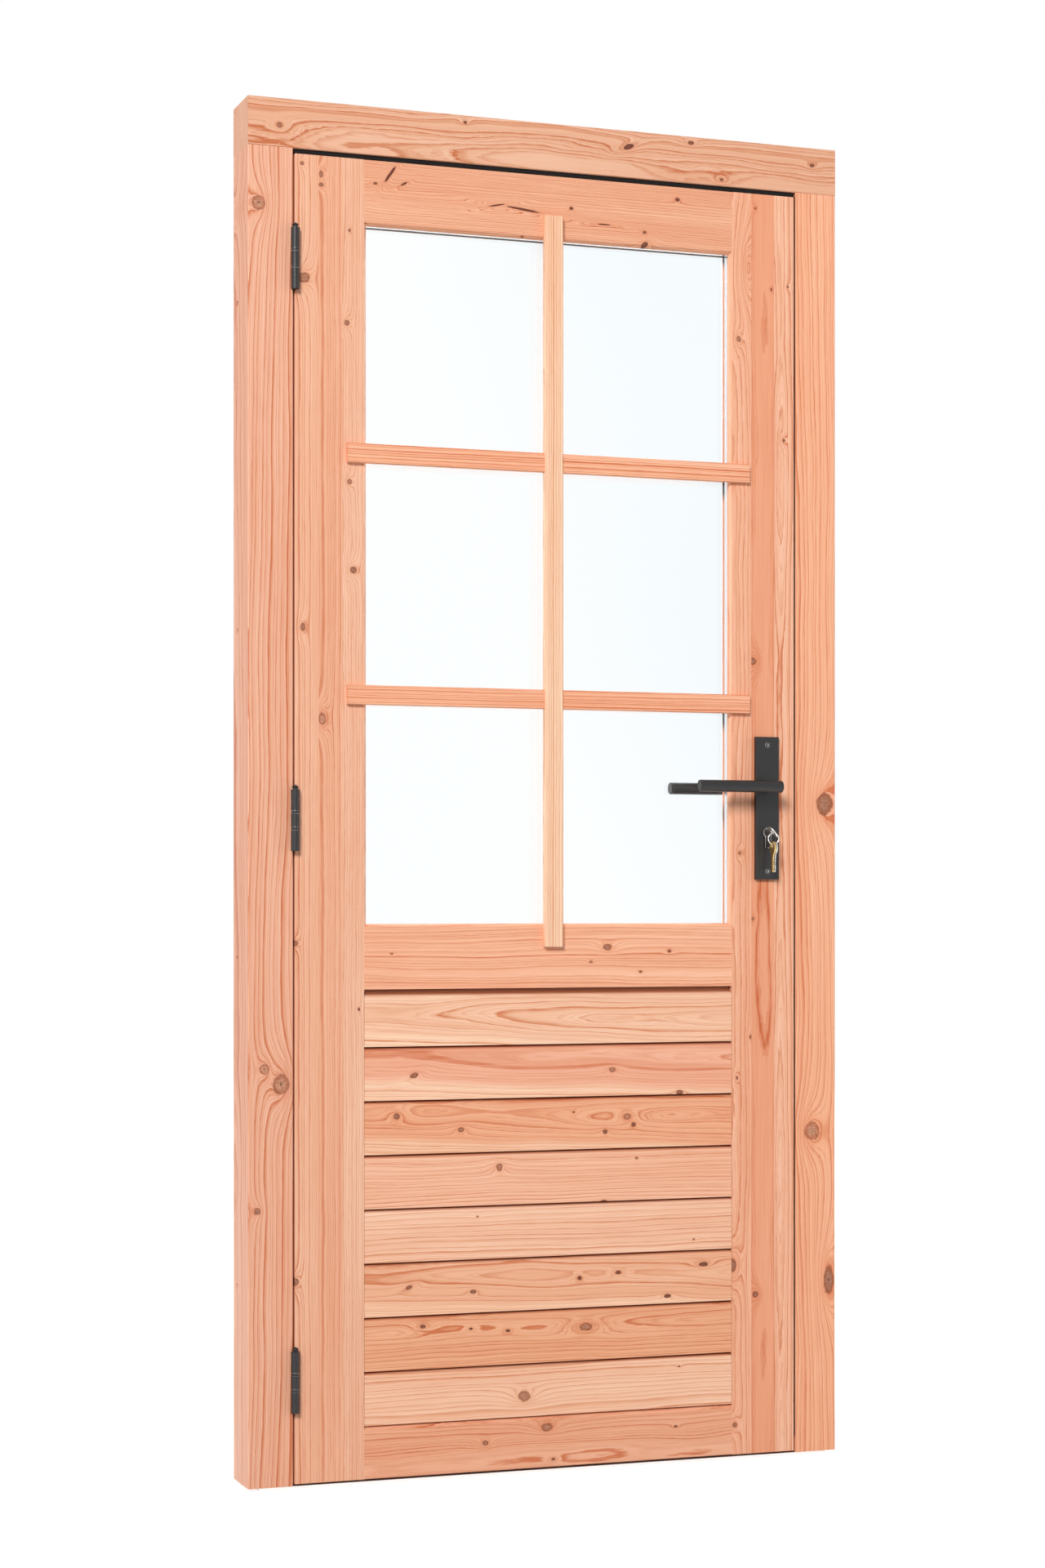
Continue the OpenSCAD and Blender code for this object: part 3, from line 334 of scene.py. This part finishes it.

# Millimetres. "level" pieces have their grain across the door; "pith" is the log's centre as place across
# the grain and depth; "lean" tilts it; "ring" is the width of a year's growth; "wander" how far lines stray.
# Knots: x, z, half width across the grain, half length along it, lift of the rings, darkness, and for some
# a turn in degrees.
timbers = {
    "hinge_jamb": {
        "tone": (234, 180, 152), "pith": (-360, 90), "lean": (0.012, 0.0), "ring": 6.5, "wander": 7,
        "seed": 1.3, "contrast": 1.5,
        "knots": [
            (-472, 1944, 10.5, 11, 29, 0.2), (-463, 637, 8, 8, 17, 0.1), (-437, 614, 13, 15, 40, 0.25),
            (-474, 423, 5, 5, 16, 0.5)]},
    "lock_jamb": {
        "tone": (245, 186, 151), "pith": (380, 70), "lean": (-0.01, 0.0), "ring": 6.0, "wander": 9,
        "seed": 4.1, "contrast": 1.5,
        "knots": [
            (469, 1048, 14, 18, 48, 0.5), (447, 521, 13, 15, 48, 0.2), (476, 280, 9, 22, 50, 0.5)]},
    "header": {
        "level": True, "tone": (228, 179, 149), "pith": (2036, 95), "lean": (0.02, 0.01), "ring": 3.8,
        "wander": 10, "seed": 2.6, "contrast": 1.7,
        "knots": [
            (-439, 2064, 4, 4, 13, 0.5), (-143, 2094, 2.5, 3, 9, 0.8), (129, 2080, 4, 9, 21, 0.95, 20),
            (235, 2095, 3, 5, 13, 0.8), (288, 2041, 2.5, 3, 9, 0.8), (447, 2077, 3, 4, 12, 0.8)]},
    "hinge_stile": {
        "tone": (237, 186, 156), "pith": (-470, 70), "ring": 4.2, "wander": 3, "seed": 7.7,
        "layers": [
            {"from": -420, "to": -378},
            {"from": -378, "to": -340, "shift": (-70, 20, 400), "tone": (235, 180, 149), "ring": 3.6},
            {"from": -340, "to": -300, "shift": (-35, -10, 300), "tone": (239, 193, 165), "ring": 2.2}],
        "knots": [
            (-401, 1836, 9, 8, 27, 0.4), (-404, 2009, 3, 3, 10, 0.5), (-329, 1913, 2, 2.5, 7, 0.7),
            (-333, 1772, 4, 4, 13, 0.5), (-329, 1530, 4, 4, 13, 0.4), (-323, 1396, 5, 5, 16, 0.6),
            (-403, 1306, 4, 6, 16, 0.5), (-372, 1168, 6, 9, 24, 0.2), (-414, 827, 4, 4, 13, 0.5),
            (-314, 726, 2, 3, 8, 0.8), (-414, 314, 5, 6, 18, 0.5), (-374, 1995, 3, 5, 14, 0.5),
            (-374, 1979, 4, 3, 12, 0.5)]},
    "lock_stile": {
        "tone": (240, 184, 153), "pith": (300, 60), "ring": 4.6, "wander": 4.5, "seed": 9.2,
        "contrast": 1.4,
        "layers": [
            {"from": 300, "to": 340},
            {"from": 340, "to": 380, "shift": (-60, 10, 500), "tone": (230, 159, 123), "ring": 4.2},
            {"from": 380, "to": 420, "shift": (-30, 30, 300), "tone": (242, 190, 160), "ring": 3.4}],
        "knots": [
            (335, 1904, 9, 20, 43, -1), (318, 1789, 4, 5, 14, 0.4), (347, 2000, 2, 2, 6, 0.5),
            (375, 1872, 2, 2.5, 7, 0.6), (404, 1878, 2, 2.5, 7, 0.6), (397, 1631, 2.5, 3, 9, 0.6),
            (342, 1275, 6, 6, 19, 0.5), (320, 968, 3, 3, 10, 0.4), (342, 863, 3, 3, 10, 0.6),
            (339, 674, 3, 3, 10, 0.6), (315, 609, 2, 3, 8, 0.7), (307, 310, 7, 10, 27, 0.6),
            (347, 262, 5, 5, 16, 0.6), (311, 55, 4, 4, 13, 0.6)]},
    "top_rail": {
        "level": True, "tone": (236, 180, 148), "pith": (2080, 30), "ring": 3.0, "wander": 4,
        "seed": 3.4, "contrast": 1.5,
        "knots": [
            (-264, 2004, 2.2, 15, 18, 1.0, 55), (-288, 1988, 2, 3, 8, 0.8),
            (-242, 1991, 1.5, 6, 12, 1.0, 30), (-92, 1970, 1.3, 13, 22, 1.0, 12),
            (-48, 1967, 1.8, 26, 28, 1.0, -6), (32, 1975, 2.5, 3, 9, 0.9), (87, 1954, 1.2, 11, 19, 1.0),
            (156, 1947, 2.2, 3, 9, 0.8), (212, 2003, 3, 4, 12, 0.9), (-49, 1925, 1.2, 2, 5, 0.7),
            (78, 1921, 1.2, 2, 5, 0.7), (156, 1927, 4, 6, 16, 0.9, 30)]},
    "middle_rail": {
        "level": True, "tone": (244, 188, 156), "pith": (700, 60), "ring": 5.0, "wander": 10,
        "seed": 5.9,
        "knots": [
            (-262, 810, 1.5, 2, 6, 0.6), (93, 819, 5, 7, 19, 0.45), (65, 796, 2, 3, 8, 0.6),
            (149, 780, 2, 3, 8, 0.6), (198, 812, 2.5, 3, 9, 0.8)]},
    "bottom_rail": {
        "level": True, "tone": (232, 172, 139), "pith": (20, 50), "ring": 4.0, "wander": 9, "seed": 8.8,
        "knots": [
            (-110, 52, 4, 5, 14, 0.5), (-8, 70, 6, 9, 24, 0.4), (2, 20, 2, 3, 8, 0.7),
            (209, 59, 2, 3, 8, 0.7)]},
    "board_1": {
        "level": True, "tone": (243, 198, 168), "pith": (712, 30), "lean": (0.02, 0.03), "ring": 8.0,
        "wander": 12, "seed": 11.5, "contrast": 1.05, "sapwood": 48},
    "board_2": {
        "level": True, "tone": (238, 177, 147), "pith": (650, 25), "lean": (0.03, 0.02), "ring": 6.0,
        "wander": 12, "seed": 12.1, "contrast": 0.9, "sapwood": 52,
        "knots": [
            (-226, 623, 4, 7, 18, 0.6, 20), (101, 626, 4, 6, 16, 0.3), (216, 588, 4, 6, 16, 0.7)]},
    "board_3": {
        "level": True, "tone": (236, 175, 139), "pith": (560, 22), "lean": (0.03, 0.02), "ring": 4.5,
        "wander": 14, "seed": 13.7, "contrast": 1.15, "sapwood": 48,
        "knots": [
            (-254, 561, 5, 5, 16, 0.6), (-150, 538, 4, 5, 14, 0.5), (89, 529, 3.5, 4, 12, 0.8),
            (137, 539, 3.5, 4, 12, 0.8), (36, 561, 2, 2, 6, 0.6), (126, 552, 5, 6, 18, 0.3)]},
    "board_4": {
        "level": True, "tone": (242, 191, 161), "pith": (520, 30), "ring": 5.0, "wander": 9,
        "seed": 14.2, "contrast": 1.2,
        "knots": [
            (-87, 478, 6, 5, 18, 0.4), (87, 419, 3, 6, 14, 0.8), (142, 486, 2, 3, 8, 0.5)]},
    "board_5": {
        "level": True, "tone": (243, 197, 168), "pith": (300, 40), "ring": 7.0, "wander": 8,
        "seed": 15.3, "contrast": 1.1,
        "knots": [
            (-123, 403, 1.5, 2, 6, 0.5), (240, 354, 1.5, 2, 6, 0.7)]},
    "board_6": {
        "level": True, "tone": (237, 184, 151), "pith": (310, 20), "lean": (0.02, 0.01), "ring": 6.0,
        "wander": 12, "seed": 16.9, "contrast": 1.1, "sapwood": 46,
        "knots": [
            (-234, 298, 3, 6, 14, 0.7, 20), (-130, 287, 3, 5, 13, 0.7), (46, 301, 3, 3.5, 11, 0.95),
            (111, 307, 3, 4, 12, 0.9), (257, 314, 3.5, 8, 19, 0.9), (195, 266, 3, 6, 14, 0.9)]},
    "board_7": {
        "level": True, "tone": (233, 174, 137), "pith": (230, 25), "ring": 4.5, "wander": 11,
        "seed": 17.4, "contrast": 1.2,
        "knots": [
            (-212, 237, 3, 5, 13, 0.8), (-134, 230, 2, 3, 8, 0.9), (-73, 224, 2.5, 4, 11, 0.9),
            (56, 224, 6, 11, 27, 0.4)]},
    "board_8": {
        "level": True, "tone": (243, 198, 168), "pith": (60, 40), "ring": 6.5, "wander": 9,
        "seed": 18.8, "contrast": 1.1,
        "knots": [
            (-46, 121, 8, 10, 29, 0.35), (215, 154, 1.5, 2, 6, 0.7)]},
    "back_panel": {
        "tone": (226, 190, 154), "pith": (40, -30), "lean": (0.05, 0.02), "ring": 14.0, "wander": 26,
        "seed": 41.3, "contrast": 0.3},
    "upright_bar": {
        "tone": (247, 210, 179), "pith": (-420, 60), "ring": 3.4, "wander": 2, "seed": 21.1,
        "contrast": 1.6}
}
glazingBar = {"level": True, "tone": (246, 189, 156), "ring": 4.4, "wander": 2.5, "contrast": 2.2}
bead = {"tone": (244, 182, 148), "ring": 3.0, "wander": 3}
timbers.update({
    "upper_bar_left": {**glazingBar, "pith": (1413.7, 40), "seed": 22.9},
    "upper_bar_right": {**glazingBar, "pith": (1413.7, 40), "seed": 24.27},
    "lower_bar_left": {**glazingBar, "pith": (1045.3, 40), "seed": 25.64},
    "lower_bar_right": {**glazingBar, "pith": (1045.3, 40), "seed": 27.01},
    "bead_top": {**bead, "level": True, "pith": (1760, 60), "seed": 31.2},
    "bead_bottom": {**bead, "level": True, "pith": (700, 60), "seed": 32.2},
    "bead_left": {**bead, "pith": (-468, 60), "seed": 33.4},
    "bead_right": {**bead, "pith": (148, 60), "seed": 34.4}})
for number in range(1, 9):
    timbers[f"board_{number}"]["groove"] = 5.5  # depth at which the painted groove shade is darkest


def giveMaterial(node, material):
    slots = frame["nodes"][node].data.materials
    slots.clear()
    slots.append(material)


for name, spec in timbers.items():
    giveMaterial(name, timberMaterial("timber_" + name, spec))
print("stage: timber")


def plainMaterial(name, color, **values):
    material = bpy.data.materials.new(name)
    material.use_nodes = True
    shader = material.node_tree.nodes["Principled BSDF"]
    shader.inputs["Base Color"].default_value = srgb(*color)
    for key, value in values.items():
        shader.inputs[key.replace("_", " ")].default_value = value
    return material


def metalMaterial(name, color, grain, **values):  # fine unevenness of a coating or of drawn metal
    material = plainMaterial(name, color, **values)
    tree = material.node_tree
    shader = tree.nodes["Principled BSDF"]
    speckle = noise(tree, addNode(tree, "ShaderNodeTexCoord").outputs["Object"], grain, 3.0)
    rough = values["Roughness"]
    tree.links.new(ramp(tree, speckle, 0.3, 0.7, rough - 0.06, rough + 0.08), shader.inputs["Roughness"])
    relief = {"Height": speckle, "Strength": 0.12, "Distance": 0.0001}
    tree.links.new(addNode(tree, "ShaderNodeBump", relief).outputs[0], shader.inputs["Normal"])
    return material


def glassMaterial():  # clear, and light falls through it without a dark shadow
    values = {"Metallic": 0.0, "Transmission Weight": 1.0, "Roughness": 0.0, "IOR": 1.45}
    material = plainMaterial("glass", (254, 255, 255), **values)
    tree = material.node_tree
    clear = addNode(tree, "ShaderNodeBsdfTransparent").outputs[0]
    shadowRay = addNode(tree, "ShaderNodeLightPath").outputs["Is Shadow Ray"]
    parts = {0: shadowRay, 1: tree.nodes["Principled BSDF"].outputs[0], 2: clear}
    both = addNode(tree, "ShaderNodeMixShader", parts).outputs[0]
    tree.links.new(both, tree.nodes["Material Output"].inputs["Surface"])
    return material


drawn, fine = (900, 900, 3000), (1500, 1500, 1500)  # grain per metre
black = metalMaterial("black_metal", (25, 23, 23), (2600, 2600, 2600), Roughness=0.42, Specular_IOR_Level=0.4)
steel = metalMaterial("steel", (206, 204, 200), drawn, Metallic=1.0, Roughness=0.26)
brass = metalMaterial("brass", (222, 190, 128), drawn, Metallic=1.0, Roughness=0.26)
darkSteel = metalMaterial("dark_steel", (46, 42, 40), fine, Metallic=0.6, Roughness=0.38)
aluminium = metalMaterial("aluminium", (214, 212, 210), (60, 2400, 2400), Metallic=1.0, Roughness=0.38)
polished = plainMaterial("polished_edge", (236, 234, 230), Metallic=1.0, Roughness=0.16)
# lighter metal for rounded edges, a painted highlight along each edge
highlightEdge = plainMaterial("highlight_edge", (150, 147, 144), Metallic=0.9, Roughness=0.3)
rubber = plainMaterial("rubber", (18, 15, 14), Roughness=0.8, Specular_IOR_Level=0.2)
spacer = plainMaterial("spacer", (244, 245, 246), Metallic=1.0, Roughness=0.25)
slotMaterials = {
    "glass": glassMaterial(), "spacer": spacer, "threshold_metal": aluminium, "seal_rubber": rubber,
    "black_metal": black, "lock_steel": steel, "barrel_metal": darkSteel, "plug_brass": brass,
    "key_steel": steel, "key_brass": brass}
nodeSlots = {piece["node"]: piece["material_slot"] for piece in frame["record"]["subparts"]}
for name in frame["nodes"]:
    if name not in timbers:
        giveMaterial(name, slotMaterials[nodeSlots[name]])
print("stage: materials")


def addPiece(name, mesh, body, replaced=()):
    piece = bpy.data.objects.new(name, mesh)
    scene.collection.objects.link(piece)
    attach(piece, body)
    if replaced:
        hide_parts(*replaced)
    return piece


def softened(node, width, edge=None):  # a copy of the piece with its edges rounded, or with the rounded edges in a brighter metal
    shape = bmesh.new()
    shape.from_mesh(frame["nodes"][node].data)
    bmesh.ops.remove_doubles(shape, verts=shape.verts, dist=1e-6)
    bmesh.ops.dissolve_limit(
        shape, angle_limit=math.radians(0.6), verts=shape.verts, edges=shape.edges)
    sharp = math.radians(32)
    corners = [e for e in shape.edges if len(e.link_faces) == 2 and e.calc_face_angle(0) > sharp]
    bmesh.ops.bevel(
        shape, geom=corners, offset=width, segments=2, affect="EDGES", profile=0.5,
        clamp_overlap=True, material=1 if edge else -1)
    mesh = bpy.data.meshes.new(node + "_finished")
    shape.to_mesh(mesh)
    shape.free()
    mesh.shade_smooth()
    mesh.set_sharp_from_angle(angle=math.radians(28))
    mesh.materials.append(frame["nodes"][node].data.materials[0])
    if edge:
        mesh.materials.append(edge)
    body = next(name for name, nodes in bodies.items() if node in nodes)
    finished = addPiece(mesh.name, mesh, body, [node])
    finished.modifiers.new("flat faces", "WEIGHTED_NORMAL").keep_sharp = True
    return finished


bodies = frame["record"]["behaviour"]["bodies"]
edgeWidths = {  # metres
    "outer_plate": 0.0008, "inner_plate": 0.0008, "outer_lever": 0.0005, "inner_lever": 0.0005,
    "frame_flap_top": 0.0004, "frame_flap_middle": 0.0004, "frame_flap_bottom": 0.0004,
    "door_flap_top": 0.0004, "door_flap_middle": 0.0004, "door_flap_bottom": 0.0004,
    "hinge_pins": 0.0005, "key": 0.0003, "spare_key_left": 0.0003, "spare_key_right": 0.0003,
    "lock_front_plate": 0.0004, "strike_plate": 0.0003, "threshold": 0.0005}
for node, width in edgeWidths.items():
    softened(node, width)
# painted highlight: the rounded edges of the bolts, hinge rings and key plug get the lighter edge metal
softened("plate_bolts", 0.0005, highlightEdge)
softened("hinge_rings", 0.0004, highlightEdge)
softened("key_barrel", 0.0006, polished)
softened("key_plug", 0.0004, highlightEdge).data.materials[0] = darkSteel

gapShadeStrips = {  # dark strips that paint the shade in the top and lock side gaps; metres: low and high corner of each strip, depths counted from the front face
    "top": ((-0.415, 0.004, 2.0245), (0.415, 0.014, 2.031)),
    "lock side": ((0.4166, 0.003, 0.03), (0.418, 0.0075, 2.0245))}


def addBlock(shape, low, high):
    low, high = (Vector(corner) + Vector((0, front, 0)) for corner in (low, high))
    place = Matrix.Translation((low + high) / 2) @ Matrix.Diagonal((*(high - low), 1))
    bmesh.ops.create_cube(shape, size=1.0, matrix=place)


# painted shade: a near-black strip set in each gap to darken it
shape = bmesh.new()
for low, high in gapShadeStrips.values():
    addBlock(shape, low, high)
bmesh.ops.recalc_face_normals(shape, faces=shape.faces)
mesh = bpy.data.meshes.new("gap_shade_strip")
shape.to_mesh(mesh)
shape.free()
mesh.materials.append(rubber)
addPiece("gap_shade_strip", mesh, "frame")
print("stage: fittings")

floorLook = {"glow": 0.7, "seenWhite": (0.95, 0.95, 0.95, 1), "litGrey": (0.35, 0.34, 0.33, 1)}
bpy.ops.mesh.primitive_plane_add(size=30, location=(0, 0, -0.0005))
floor = bpy.context.object
floor.name = "floor"
floorMaterial = plainMaterial("floor", (250, 250, 250), Roughness=0.9, Emission_Color=(1, 1, 1, 1))
tree = floorMaterial.node_tree
sockets = tree.nodes["Principled BSDF"].inputs
diffuseRay = addNode(tree, "ShaderNodeLightPath").outputs["Is Diffuse Ray"]
tree.links.new(ramp(tree, diffuseRay, 0.0, 1.0, floorLook["glow"], 0.0), sockets["Emission Strength"])
floorColor = mixColor(tree, diffuseRay, floorLook["seenWhite"], floorLook["litGrey"])
tree.links.new(floorColor, sockets["Base Color"])
floor.data.materials.append(floorMaterial)

# The surround is white where it is seen and dim where it lights; faint sky patches show through the glass.
surround = {"seen": 1.0, "lighting": 0.25, "sky": srgb(222, 240, 252), "patches": (2.5, 2.5, 2.5)}
world = bpy.data.worlds.new("surround")
scene.world = world
world.use_nodes = True
tree = world.node_tree
sockets = tree.nodes["Background"].inputs
rays = addNode(tree, "ShaderNodeLightPath").outputs
throughOrMirrored = calc(tree, "MAXIMUM", rays["Is Transmission Ray"], rays["Is Glossy Ray"])
seen = calc(tree, "MAXIMUM", rays["Is Camera Ray"], throughOrMirrored)
tree.links.new(ramp(tree, seen, 0.0, 1.0, surround["lighting"], surround["seen"]), sockets["Strength"])
direction = addNode(tree, "ShaderNodeTexCoord").outputs["Generated"]
clouds = ramp(tree, noise(tree, direction, surround["patches"], 1.0), 0.5, 0.75, 0.0, 0.6)
amount = calc(tree, "MULTIPLY", rays["Is Transmission Ray"], clouds)
tree.links.new(mixColor(tree, amount, (1, 1, 1, 1), surround["sky"]), sockets["Color"])

lights = {  # metres and watts
    "key_light": {"place": (-5.6, -9.0, 6.4), "target": (0, 0, 1.0), "size": (3.2, 3.2), "power": 1230},
    "edge_light": {"place": (-5.0, 0.5, 1.6), "target": (0, 0.02, 1.0), "size": (1.0, 2.4), "power": 60},
    "back_light": {"place": (5.8, 5.4, 5.2), "target": (0, 0, 1.0), "size": (2.2, 3.0), "power": 420},
    "fill_light": {"place": (4.4, -2.6, 2.0), "target": (0, 0, 1.2), "size": (1.4, 2.0), "power": 40}}
for name, spec in lights.items():
    lamp = bpy.data.lights.new(name, "AREA")
    lamp.shape = "RECTANGLE"
    lamp.size, lamp.size_y = spec["size"]
    lamp.energy = spec["power"]
    holder = bpy.data.objects.new(name, lamp)
    scene.collection.objects.link(holder)
    holder.location = spec["place"]
    aim = Vector(spec["target"]) - Vector(spec["place"])
    holder.rotation_euler = aim.to_track_quat("-Z", "Y").to_euler()

view = {"place": (-1.6125, -4.4044, 0.883), "turn": -19.73, "lens": 68.36, "sensor": 36, "rise": 0.078}
camera = bpy.data.objects.new("camera", bpy.data.cameras.new("camera"))
scene.collection.objects.link(camera)
camera.location = view["place"]
camera.rotation_euler = (math.pi / 2, 0, math.radians(view["turn"]))
camera.data.lens = view["lens"]
camera.data.sensor_width = view["sensor"]
camera.data.shift_y = view["rise"]
scene.camera = camera
scene.view_settings.view_transform = "Standard"
print("stage: light and camera")
